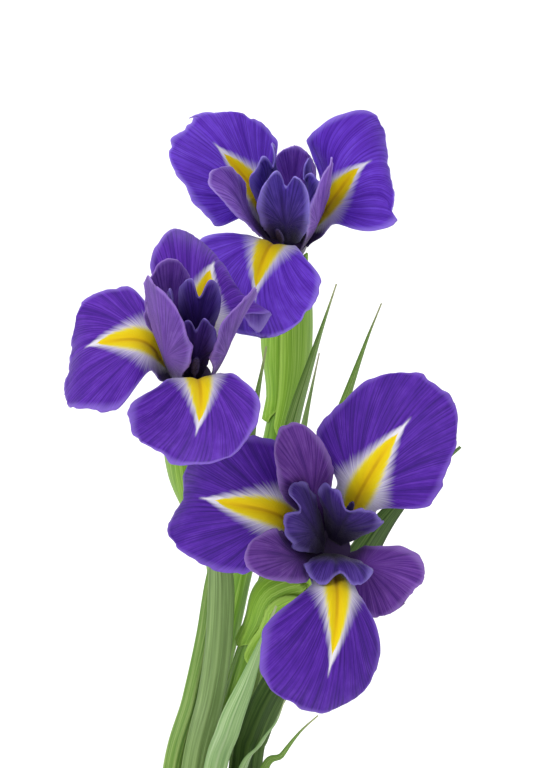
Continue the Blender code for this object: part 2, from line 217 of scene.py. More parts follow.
def through(points, samples):
    """Points spread evenly along a smooth curve through the given ones, and its length."""
    pts = [Vector(p) for p in points]
    ends = [pts[0] * 2 - pts[1]] + pts + [pts[-1] * 2 - pts[-2]]
    fine = []
    for a, b, c, d in zip(ends, ends[1:], ends[2:], ends[3:]):
        fine += [curve_at(a, b, c, d, step / 12.0) for step in range(12)]
    fine.append(pts[-1])
    run = [0.0]
    for a, b in zip(fine, fine[1:]):
        run.append(run[-1] + (b - a).length)
    out, k = [], 0
    for i in range(samples):
        goal = run[-1] * i / (samples - 1)
        while k < len(run) - 2 and run[k + 1] < goal:
            k += 1
        out.append(fine[k].lerp(fine[k + 1], (goal - run[k]) / (run[k + 1] - run[k])))
    return out, run[-1]


def tangents(path):
    last = len(path) - 1
    return [(path[min(i + 1, last)] - path[max(i - 1, 0)]).normalized()
            for i in range(len(path))]


def foot_of(mouth):
    """Where a strand that crosses the vase's mouth at this point goes down and stands."""
    x, y = mouth[0] * 0.85 - 6.0, mouth[1] * 0.85 + 2.0
    return [(x * 0.55 + mouth[0] * 0.45 - 3.0, y * 0.5 + mouth[1] * 0.5, 100.0), (x, y, 6.5)]


def strand_tree():
    """Geometry Nodes: a strand grown along a path, with a round or flat folded section.

    The path carries its half width, its facing and the distance from its tip; the strand
    carries 'grain': across and through the section, and along it in millimetres.
    """
    tree = bpy.data.node_groups.new("strand_along_a_path", "GeometryNodeTree")
    face = tree.interface
    face.new_socket("Path", in_out="INPUT", socket_type="NodeSocketGeometry")
    for name, value in (("Thickness ratio", 1.0), ("Fold", 0.0), ("Midrib", 0.0)):
        face.new_socket(name, in_out="INPUT", socket_type="NodeSocketFloat").default_value = value
    face.new_socket("Corners", in_out="INPUT", socket_type="NodeSocketInt").default_value = 24
    face.new_socket("Skin", in_out="INPUT", socket_type="NodeSocketMaterial")
    face.new_socket("Strand", in_out="OUTPUT", socket_type="NodeSocketGeometry")
    given = node(tree, "NodeGroupInput")
    half = node(tree, "GeometryNodeInputNamedAttribute", {"Name": "half_width"})
    facing = node(tree, "GeometryNodeInputNamedAttribute", {"Name": "facing"},
                  data_type="FLOAT_VECTOR")
    run = node(tree, "GeometryNodeInputNamedAttribute", {"Name": "from_tip"})
    curve = node(tree, "GeometryNodeMeshToCurve", links={"Mesh": given.outputs["Path"]})
    framed = node(tree, "GeometryNodeSetCurveNormal", links={"Curve": curve, "Normal": facing},
                  mode="FREE")
    circle = node(tree, "GeometryNodeCurvePrimitiveCircle", {"Radius": 1.0},
                  {"Resolution": given.outputs["Corners"]})
    spot = node(tree, "GeometryNodeInputPosition")
    kept = node(tree, "GeometryNodeCaptureAttribute", links={"Geometry": circle})
    kept.capture_items.new("VECTOR", "section")
    tree.links.new(spot.outputs[0], kept.inputs[1])
    section = node(tree, "ShaderNodeSeparateXYZ", links={0: kept.outputs[1]})
    out_from_rib = node(tree, "ShaderNodeMath", links={0: section.outputs["Y"]},
                        operation="ABSOLUTE")
    folded = node(tree, "ShaderNodeMath", links={0: out_from_rib, 1: given.outputs["Fold"]},
                  operation="MULTIPLY")
    rib = node(tree, "ShaderNodeMapRange",
               {"From Min": 0.0, "From Max": 0.22, "To Min": 1.0, "To Max": 0.0},
               {"Value": out_from_rib}, interpolation_type="SMOOTHSTEP")
    thick = node(tree, "ShaderNodeMath",
                 links={0: rib, 1: given.outputs["Midrib"], 2: given.outputs["Thickness ratio"]},
                 operation="MULTIPLY_ADD")
    through_leaf = node(tree, "ShaderNodeMath",
                        links={0: section.outputs["X"], 1: thick, 2: folded},
                        operation="MULTIPLY_ADD")
    spread = node(tree, "ShaderNodeCombineXYZ",
                  links={"X": through_leaf, "Y": section.outputs["Y"]})
    shaped = node(tree, "GeometryNodeSetPosition", links={"Geometry": kept, "Position": spread})
    swept = node(tree, "GeometryNodeCurveToMesh", {"Fill Caps": True},
                 {"Curve": framed, "Profile Curve": shaped, "Scale": half})
    grain = node(tree, "ShaderNodeCombineXYZ",
                 links={"X": section.outputs["Y"], "Y": section.outputs["X"], "Z": run})
    marked = node(tree, "GeometryNodeStoreNamedAttribute", {"Name": "grain"},
                  {"Geometry": swept, "Value": grain}, data_type="FLOAT_VECTOR", domain="POINT")
    soft = node(tree, "GeometryNodeSetShadeSmooth", links={"Geometry": marked})
    real = node(tree, "GeometryNodeRealizeInstances", links={"Geometry": soft})
    done = node(tree, "GeometryNodeSetMaterial",
                links={"Geometry": real, "Material": given.outputs["Skin"]})
    node(tree, "NodeGroupOutput", links={"Strand": done})
    return tree


STRAND = strand_tree()
SOCKET = {item.name: item.identifier for item in STRAND.interface.items_tree
          if item.item_type == "SOCKET" and item.in_out == "INPUT"}


def grow_strand(name, path, half_widths, facing, length, skin, **section):
    """Runs the strand tree on one path and gives back a plain mesh."""
    guide = bpy.data.meshes.new(name + "_path")
    guide.from_pydata([p * MM for p in path], [(i, i + 1) for i in range(len(path) - 1)], [])
    for key, kind in (("half_width", "FLOAT"), ("from_tip", "FLOAT"),
                      ("facing", "FLOAT_VECTOR")):
        guide.attributes.new(key, kind, "POINT")
    for i in range(len(path)):
        guide.attributes["half_width"].data[i].value = half_widths[i] * MM
        guide.attributes["from_tip"].data[i].value = length * i / (len(path) - 1)
        guide.attributes["facing"].data[i].vector = facing[i]
    carrier = put(name + "_path", guide)
    grower = carrier.modifiers.new("grow", "NODES")
    grower.node_group = STRAND
    grower[SOCKET["Skin"]] = skin
    for key, value in section.items():
        grower[SOCKET[key.replace("_", " ")]] = value
    graph = bpy.context.evaluated_depsgraph_get()
    mesh = bpy.data.meshes.new_from_object(carrier.evaluated_get(graph))
    bpy.data.objects.remove(carrier, do_unlink=True)
    volume = 0.0
    for face in mesh.polygons:
        a, b, c = (mesh.vertices[k].co for k in face.vertices[:3])
        volume += face.center.dot((b - a).cross(c - a).normalized()) * face.area
    if volume < 0:
        mesh.flip_normals()
    return mesh


def fibres(tree, along, per_unit, detail, roughness):
    """The grain of plant tissue: noise drawn out along the piece."""
    drawn_out = node(tree, "ShaderNodeMapping", {"Scale": per_unit}, {"Vector": along})
    return node(tree, "ShaderNodeTexNoise",
                {"Scale": 1.0, "Detail": detail, "Roughness": roughness}, {"Vector": drawn_out})


# iris stem: smooth waxy skin over parallel ribs 0.5 mm apart; the tube on top turns violet
def stem_skin(name, deep, body, bright):
    mat, out = blank_material(name)
    tree = mat.node_tree
    grain = node(tree, "ShaderNodeAttribute", attribute_name="grain")
    part = node(tree, "ShaderNodeSeparateXYZ", links={0: grain.outputs["Vector"]})
    fibre = fibres(tree, grain.outputs["Vector"], (5.5, 5.5, 0.035), 3.0, 0.6)
    green = node(tree, "ShaderNodeValToRGB", links={"Fac": fibre.outputs["Fac"]},
                 stops=((0.30, deep), (0.52, body), (0.75, bright)))
    blush = node(tree, "ShaderNodeMapRange",
                 {"From Min": 6.1, "From Max": 13.1, "To Min": 1.0, "To Max": 0.0},
                 {"Value": part.outputs["Z"]})
    colour = node(tree, "ShaderNodeMix", {7: linear("#2C1446")},
                  {"Factor": blush, 6: green.outputs["Color"]}, data_type="RGBA")
    relief = node(tree, "ShaderNodeBump", {"Strength": 0.35, "Distance": 0.0004},
                  {"Height": fibre.outputs["Fac"]})
    skin = node(tree, "ShaderNodeBsdfPrincipled",
                {"Roughness": 0.42, "IOR": 1.4, "Subsurface Weight": 0.12,
                 "Subsurface Scale": 0.002, "Subsurface Radius": (0.5, 1.0, 0.2)},
                {"Base Color": colour.outputs[2], "Normal": relief})
    tree.links.new(skin.outputs[0], out.inputs["Surface"])
    return mat


fresh_stem = stem_skin("iris_stem_fresh_green", "#4A7414", "#6A942A", "#96B856")
STEM_RUN = {}
TUBE_RIM, TUBE_WAIST, OVARY_SWELL, STALK = 6.2, 3.9, 0.6, 3.6
RIM_ABOVE_PETALS, RIM_LONG = 1.2, 2.1
TUBE_NARROWS, TUBE_LONG, OVARY_END = 7.5, 8.0, 36.0
for which, waypoints in STEMS.items():
    axis = [stance(which) @ Vector((0, 0, z)) for z in (RIM_ABOVE_PETALS, -7.0, -16.0, -26.0)]
    path, length = through(axis + [Vector(p) for p in waypoints] + foot_of(waypoints[-1]), 150)
    STEM_RUN[which] = (path, length)
    radii = []
    for i in range(len(path)):
        down = length * i / (len(path) - 1) - RIM_LONG
        if down < TUBE_LONG:
            radii.append(TUBE_RIM + (TUBE_WAIST - TUBE_RIM) * smooth(down / TUBE_NARROWS))
        elif down < OVARY_END:
            along = (down - TUBE_LONG) / (OVARY_END - TUBE_LONG)
            radii.append(TUBE_WAIST + OVARY_SWELL * math.sin(math.pi * along))
        else:
            radii.append(STALK)
    facing = [way.cross(Vector((0, 1, 0))).normalized() for way in tangents(path)]
    mesh = grow_strand(f"iris_stem_{which}", path, radii, facing, length, fresh_stem, Corners=28)
    link_piece(f"iris_stem_{which}", mesh, [f"stem_{which}"])

# ---------------------------------------------------------------- spathe bracts
# Two pointed green bracts wrap the top of every stem and end under the petals. They are
# stiff, ribbed along their length, and paler and papery towards their edges.
def thin_tissue(tree, out, colour, relief, glow_share, gloss, glow_relief=None):
    """Ends a plant material: the skin with its gloss, and the light that comes through it."""
    skin = node(tree, "ShaderNodeBsdfPrincipled", gloss, {"Base Color": colour, "Normal": relief})
    glow = node(tree, "ShaderNodeBsdfTranslucent", links={"Color": colour, **(glow_relief or {})})
    both = node(tree, "ShaderNodeMixShader", {"Fac": glow_share}, {1: skin, 2: glow})
    tree.links.new(both.outputs[0], out.inputs["Surface"])


# spathe bract: satin green skin with ribs about 1 mm apart, thin enough to glow a little
def spathe_skin(name, deep, body, pale):
    mat, out = blank_material(name)
    tree = mat.node_tree
    spot = node(tree, "ShaderNodeUVMap", uv_map="blade")
    fibre = fibres(tree, spot, (34.0, 1.6, 1.0), 3.0, 0.6)
    green = node(tree, "ShaderNodeValToRGB", links={"Fac": fibre.outputs["Fac"]},
                 stops=((0.28, deep), (0.5, body), (0.72, pale)))
    edge = node(tree, "ShaderNodeAttribute", attribute_name="rim")
    dry = node(tree, "ShaderNodeMapRange",
               {"From Min": 0.0, "From Max": 0.35, "To Min": 0.75, "To Max": 0.0},
               {"Value": edge.outputs["Fac"]})
    colour = node(tree, "ShaderNodeMix", {7: linear(pale)},
                  {"Factor": dry, 6: green.outputs["Color"]}, data_type="RGBA")
    relief = node(tree, "ShaderNodeBump", {"Strength": 0.4, "Distance": 0.0004},
                  {"Height": fibre.outputs["Fac"]})
    thin_tissue(tree, out, colour.outputs[2], relief, 0.22, {"Roughness": 0.48, "IOR": 1.4})
    return mat


def sheet_mesh(name, rows, skins, maps, marks):
    """A mesh skinned over equal rows of points, with UV maps and marks on its points."""
    count = len(rows[0])
    verts = [p * MM for row in rows for p in row]
    faces = []
    for r in range(len(rows) - 1):
        for c in range(count - 1):
            a = r * count + c
            faces.append((a, a + count, a + count + 1, a + 1))
    mesh = smooth_mesh(name, verts, faces)
    for key, spots in maps.items():
        layer = mesh.uv_layers.new(name=key)
        for loop in mesh.loops:
            layer.data[loop.index].uv = spots[loop.vertex_index]
    for key, values in marks.items():
        mesh.attributes.new(key, "FLOAT", "POINT").data.foreach_set("value", values)
    for skin in skins:
        mesh.materials.append(skin)
    return mesh


def thicken(piece, millimetres, under=0):
    """Gives a sheet its thickness, with another skin on its underside where one is given."""
    solid = piece.modifiers.new("thickness", "SOLIDIFY")
    solid.thickness = millimetres * MM
    solid.offset = 0.0
    solid.use_even_offset = False
    solid.material_offset = under
    return piece


spathe = spathe_skin("spathe_bract_ribbed_green", "#5E9012", "#84B22C", "#AFD45C")
BRACTS = ((0.0, 9.1, 86.1), (180.0, 14.1, 76.1))
WRAP, BRACT_RADIUS, BRACT_THICK = math.radians(104.0), 5.5, 0.6
for which, (path, length) in STEM_RUN.items():
    ways = tangents(path)
    per_step = length / (len(path) - 1)
    for n, (turned_by, top, bottom) in enumerate(BRACTS, 1):
        rows, spots, rim = [], [], []
        for i in range(61):
            t = i / 60
            k = (top + (bottom - top) * t) / per_step
            low = int(k)
            centre = path[low].lerp(path[low + 1], k - low)
            side = ways[low].cross(Vector((0, 1, 0))).normalized()
            front = side.cross(ways[low])
            swell = 2.6 * math.sin(math.pi * min(1.0, t * 1.15)) if t < 0.87 else 0.0
            radius = BRACT_RADIUS + swell - 0.9 * smooth(t * 3 - 1.6)
            reach = WRAP * (smooth(t * 2.2 + 0.10) * 0.86 + 0.14)
            reach *= 1.0 - 0.6 * smooth((t - 0.86) / 0.14)
            row = []
            for j in range(25):
                u = j / 12.0 - 1.0
                a = math.radians(turned_by) + reach * u
                ribbed = 0.10 * math.cos(u * 30.0) + 0.35 * math.exp(-(u / 0.12) ** 2)
                lapped = 0.9 * smooth((abs(u) - 0.55) / 0.3) * (1 if n == 1 else -0.4)
                row.append(centre + (side * math.cos(a) + front * math.sin(a))
                           * (radius + ribbed + lapped))
                spots.append((0.5 + 0.5 * u * reach, t))
                rim.append(min(1.0, (1.0 - abs(u)) * 2.0))
            rows.append(row)
        mesh = sheet_mesh(f"bract_{which}", rows, [spathe], {"blade": spots}, {"rim": rim})
        thicken(link_piece(f"spathe_bract_{which}_{n}", mesh, [f"bract_{which}_{n}"]), BRACT_THICK)

# ---------------------------------------------------------------- leaves
# Long channelled leaves, folded along a midrib and tapering to a point, standing in the vase
# among the stems. Their colour runs from grey-green to a dark green on the broad ones.
LEAVES = {
    "leaf_01": (7.0, 10, "plain", [
        (19, -81, 376), (14, -70, 344), (10, -61, 314), (3, -52, 287), (-1, -41, 260),
        (-6, -31, 233), (-14.5, -13, 190)]),
    "leaf_02": (6.5, 25, "plain", [
        (41, -50, 386), (34, -43, 360), (27, -36, 331), (24, -29, 304), (21, -23, 280),
        (15, -17, 256), (9, -10, 231), (-1, -0.5, 190)]),
    "leaf_03": (5.5, -20, "dry", [
        (36, -22, 353), (31, -18, 326), (28, -15, 306), (25, -11, 283), (20, -8, 259),
        (14, -4, 231), (7.5, 1, 190)]),
    "leaf_04": (6.0, 15, "plain", [
        (57, 5, 361), (51, 6, 344), (40, 8, 308), (34, 9, 285), (28, 11, 259), (22, 12, 232),
        (9, 14, 190)]),
    "leaf_05": (4.5, 0, "plain", [
        (31, 17, 310), (29, 17, 293), (26, 17, 271), (20, 17, 244), (12, 17, 214), (1, 17, 190)]),
    "leaf_06": (11.0, -15, "dark", [
        (81, -50, 331), (68, -44, 316), (56, -39, 299), (45, -31, 276), (33, -22, 251),
        (21, -13, 228), (14, -6, 208), (11, -2.5, 190)]),
    "leaf_07": (9.0, -8, "sheath", [
        (-8, -79, 344), (-3, -70, 324), (2, -68, 306), (4, -60, 290), (3, -50, 263),
        (0, -38, 237), (-7.5, -15.5, 190)]),
    "leaf_08": (6.0, 0, "dark", [
        (7, -11, 283), (4, -8, 259), (-3, -3, 227), (-13, 2, 190)]),
    "leaf_09": (8.0, -5, "pale", [
        (22, -74, 286), (17, -64, 268), (12, -54, 249), (6, -42, 227), (-0.5, -19.5, 190)]),
    "leaf_10": (6.0, 35, "pale", [
        (25, -39, 237), (22, -34, 226), (17, -28, 215), (9, -16, 190)]),
    "leaf_11": (5.5, -25, "plain", [
        (36, -31, 227), (30, -27, 219), (24, -22, 208), (16, -13, 190)]),
}


# iris leaf: fibrous, with straight parallel veins about 0.6 mm apart, a waxy bloom and a
# paler midrib; the last few millimetres of the tip dry out
def leaf_skin(name, deep, body, pale, tip, bloom):
    mat, out = blank_material(name)
    tree = mat.node_tree
    grain = node(tree, "ShaderNodeAttribute", attribute_name="grain")
    part = node(tree, "ShaderNodeSeparateXYZ", links={0: grain.outputs["Vector"]})
    fibre = fibres(tree, grain.outputs["Vector"], (7.0, 0.6, 0.018), 4.0, 0.62)
    green = node(tree, "ShaderNodeValToRGB", links={"Fac": fibre.outputs["Fac"]},
                 stops=((0.28, deep), (0.5, body), (0.74, pale)))
    out_from_rib = node(tree, "ShaderNodeMath", links={0: part.outputs["X"]}, operation="ABSOLUTE")
    rib = node(tree, "ShaderNodeMapRange",
               {"From Min": 0.03, "From Max": 0.14, "To Min": 0.6, "To Max": 0.0},
               {"Value": out_from_rib})
    ribbed = node(tree, "ShaderNodeMix", {7: linear(pale)},
                  {"Factor": rib, 6: green.outputs["Color"]}, data_type="RGBA")
    wander = node(tree, "ShaderNodeMath", {1: 14.0}, {0: fibre.outputs["Fac"]},
                  operation="MULTIPLY")
    reach = node(tree, "ShaderNodeMath", links={0: part.outputs["Z"], 1: wander},
                 operation="SUBTRACT")
    dry = node(tree, "ShaderNodeMapRange",
               {"From Min": -4.0, "From Max": 6.0, "To Min": 1.0, "To Max": 0.0}, {"Value": reach})
    colour = node(tree, "ShaderNodeMix", {7: linear(tip)}, {"Factor": dry, 6: ribbed.outputs[2]},
                  data_type="RGBA")
    relief = node(tree, "ShaderNodeBump", {"Strength": 0.5, "Distance": 0.0005},
                  {"Height": fibre.outputs["Fac"]})
    thin_tissue(tree, out, colour.outputs[2], relief, 0.18,
                {"Roughness": 0.46, "IOR": 1.4, "Sheen Weight": bloom, "Sheen Roughness": 0.5})
    return mat


FOLD, MIDRIB, LEAF_THICK_RATIO = -0.30, 0.06, 0.12
LEAF_SKINS = {
    "plain": leaf_skin("iris_leaf_mid_green", "#426E1C", "#6E9636", "#A2BE6C", "#A8AE78", 0.12),
    "pale": leaf_skin("iris_leaf_grey_green_bloom", "#5E8A42", "#86AC66", "#B4CE98", "#AEBB88",
                      0.2),
    "dark": leaf_skin("iris_leaf_deep_green", "#243C10", "#3C5C1C", "#668440", "#6D8B4A", 0.08),
    "dry": leaf_skin("iris_leaf_green_with_dry_tip", "#5C8430", "#7E9F50", "#A9BF82", "#CFC9A6",
                     0.15),
    "sheath": leaf_skin("iris_leaf_broad_yellow_green", "#4F6B2A", "#6D8C46", "#94B26C",
                        "#A9B586", 0.1),
}
for name, (width, turned_to, kind, waypoints) in LEAVES.items():
    path, length = through([Vector(p) for p in waypoints] + foot_of(waypoints[-1]), 120)
    halves, facing = [], []
    face = Vector((math.sin(math.radians(turned_to)), -math.cos(math.radians(turned_to)), 0))
    for i, way in enumerate(tangents(path)):
        t = i / (len(path) - 1)
        taper = 0.5 * width * (0.09 + 0.91 * smooth(t * length / 75.0 + 0.02))
        halves.append(taper * (1.0 - 0.35 * smooth((t - 0.62) / 0.3)))
        side = way.cross(face).normalized()
        facing.append(side.cross(way).normalized())
    mesh = grow_strand("iris_" + name, path, halves, facing, length, LEAF_SKINS[kind],
                       Corners=26, Thickness_ratio=LEAF_THICK_RATIO, Fold=FOLD, Midrib=MIDRIB)
    link_piece("iris_" + name, mesh, [name])

# ---------------------------------------------------------------- falls
# The three outer petals of each flower: a narrow haft rises out of the tube, then a broad
# blade opens and bends over. Thin, velvety tissue, violet with a yellow signal down its
# middle, a feathered white edge round it, and a slightly frilled, notched margin.
def blade_surface(shape):
    """A function from (across -1..1, along 0..1) to a point about the flower's own axis."""
    from_tube, middle, tip = shape["rise"]
    knee, drop, waist = shape["widen"]
    slices = 240
    at, spine = Vector((shape["ring"], 0.0, shape["lift"])), []
    for i in range(slices + 1):
        v = max(0.0, i / slices - 0.0125)
        rise = math.radians(from_tube + (middle - from_tube) * smooth((v - knee) / (drop - knee))
                            + (tip - middle) * smooth((v - drop) / (1.0 - drop))
                            + shape.get("curl", 0.0) * smooth((v - 0.78) / 0.22))
        bend = math.radians(shape["bend"]) * smooth((v - shape["bend_from"])
                                                    / (1.0 - shape["bend_from"]))
        along = Vector((math.cos(rise) * math.cos(bend), math.cos(rise) * math.sin(bend),
                        math.sin(rise)))
        spine.append((at.copy(), along, Vector((-math.sin(bend), math.cos(bend), 0.0))))
        at = at + along * (shape["length"] / slices)
    turn = Matrix.Rotation(math.radians(shape["azimuth"]), 4, "Z")
    widest, base, haft = shape["widest"], shape["base_width"], shape["haft"]

    def half_at(v):
        if v > widest:
            return math.sqrt(max(0.0, 1.0 - ((v - widest) / (1.0 - widest)) ** 2.3))
        return haft + (1.0 - haft) * smooth((v - waist) / (widest - waist))

    def at_point(u, v, raise_by=0.0):
        k = min(slices - 1e-6, max(0.0, v * slices))
        low = int(k)
        a, b = spine[low], spine[low + 1]
        centre = a[0].lerp(b[0], k - low)
        along, side = a[1].lerp(b[1], k - low).normalized(), a[2].lerp(b[2], k - low)
        side = side.normalized()
        up = along.cross(side)
        twist = math.radians(shape["twist"]) * smooth((v - 0.2) / 0.5)
        side, up = (side * math.cos(twist) + up * math.sin(twist),
                    up * math.cos(twist) - side * math.sin(twist))
        root = smooth(v / 0.22)
        half = 0.5 * base * (1.0 - root) + 0.5 * shape["width"] * half_at(v) * root
        reach = half * (1.0 + shape["uneven"] * u * root)
        cup = (shape["cup"] * u * u + shape["skew"] * u * abs(u)) * reach * root
        return turn @ (centre + side * (u * reach) + up * (cup + raise_by)), u * reach

    return at_point


# the yellow signal and the white edge round it: where along the petal it ends, its half width
# as a share of the petal's, how it narrows, and its least width and fade at the end
SIGNAL_WIDEST = 0.38
# the frilled rim is 5 mm wide, and the veins fan out from a third of the way along
RIM_WIDE, VEINS_FROM = 5.0, 0.33
SIGNAL = {"signal": (0.69, 0.21, 1.7, 0.01, 0.03), "halo": (0.76, 0.31, 0.85, 0.02, 0.04)}


def petal_mesh(name, shape, flower, skins, columns, rows, seed):
    """A petal as a fine sheet: the blade's surface with its groove, frill, notch and marks."""
    at_point = blade_surface(shape)
    frame_of = stance(flower)
    dice = random.Random(seed)
    waves = [(dice.uniform(0.75, 1.25) * f, dice.uniform(0, math.tau), a)
             for f, a in ((7, 0.42), (12, 0.32), (19, 0.20), (31, 0.10))]
    edges = [(f, dice.uniform(0, math.tau), a) for f, a in ((9, 0.010), (17, 0.009),
                                                            (29, 0.007), (47, 0.005))]
    widest, length = shape["widest"], shape["length"]
    lower = int(rows * 0.55)
    points, blade, fan = [], [], []
    marks = {"rim": [], "signal": [], "halo": [], "along": []}
    notch_at, notch_deep, notch_wide = shape.get("notch", (0.0, 0.0, 0.2))
    half_max = 0.5 * shape["width"]
    for r in range(rows + 1):
        line = []
        for c in range(columns + 1):
            cell = 2.0 * c / columns - 1.0
            cell = cell * (1.15 - 0.15 * abs(cell))
            if r <= lower:
                u, v = cell, widest * r / lower
                rim_far = 1.0
            else:
                tau = (r - lower) / (rows - lower)
                x = cell * math.sqrt(1.0 - tau * tau / 2.0)
                y = tau * math.sqrt(1.0 - cell * cell / 2.0)
                v = widest + (1.0 - widest) * min(1.0, y) ** 0.87
                u = x / max(1e-4, math.sqrt(max(0.0, 1.0 - min(0.9999, y) ** 2)))
                rim_far = 1.0 - tau
            u = max(-1.0, min(1.0, u))
            rim = min(1.0, (1.0 - abs(cell)) * half_max / RIM_WIDE,
                      rim_far * (1.0 - widest) * length / RIM_WIDE)
            across = at_point(u, v)[1]
            ray = math.atan2(across, (v - VEINS_FROM) * length)
            open_blade = smooth((v - 0.25) / 0.3)
            nick = notch_deep * math.exp(-((across / half_max - notch_at) / notch_wide) ** 2) \
                * smooth((v - 0.7) / 0.3)
            ragged = sum(a * math.sin(f * ray + p) for f, p, a in edges) * open_blade
            near = (1.0 - rim) ** 1.5
            v = min(1.0, max(0.0, v * (1.0 - nick + ragged * near * 0.8)))
            drawn_in = at_point(u, v)[1]
            u *= max(0.0, min(1.0, across / drawn_in)) if abs(drawn_in) > 1e-4 else 1.0
            u *= 1.0 + ragged * near
            groove = -shape["groove"] * math.exp(-(across / 1.3) ** 2) \
                * smooth(v / 0.2) * (1.0 - 0.5 * smooth((v - 0.6) / 0.3))
            wave = sum(a * math.sin(f * ray + p) for f, p, a in waves)
            frill = shape["frill"] * wave * open_blade * (0.12 + 0.88 * near)
            pleat = 0.05 * math.sin(ray * 95.0) * open_blade
            spot, across = at_point(u, v, groove + frill + pleat)
            line.append(frame_of @ spot)
            blade.append((across / 100.0 + 0.5, v))
            radius = math.hypot(across, (v - VEINS_FROM) * length)
            fan.append((ray / math.tau + 0.5, radius / 100.0))
            marks["rim"].append(rim)
            marks["along"].append(v)
            off = abs(across / half_max)
            for mark, (end, half_wide, power, least, fade) in SIGNAL.items():
                if v < SIGNAL_WIDEST:
                    edge = half_wide * smooth(v / SIGNAL_WIDEST * 1.1)
                else:
                    edge = half_wide * max(0.0, 1.0 - ((v - SIGNAL_WIDEST)
                                                       / (end - SIGNAL_WIDEST)) ** power)
                marks[mark].append(max(-2.0, min(1.0 - off / max(edge, least),
                                                 (end - v) / fade)))
        points.append(line)
    return sheet_mesh(name, points, skins, {"blade": blade, "fan": fan}, marks)
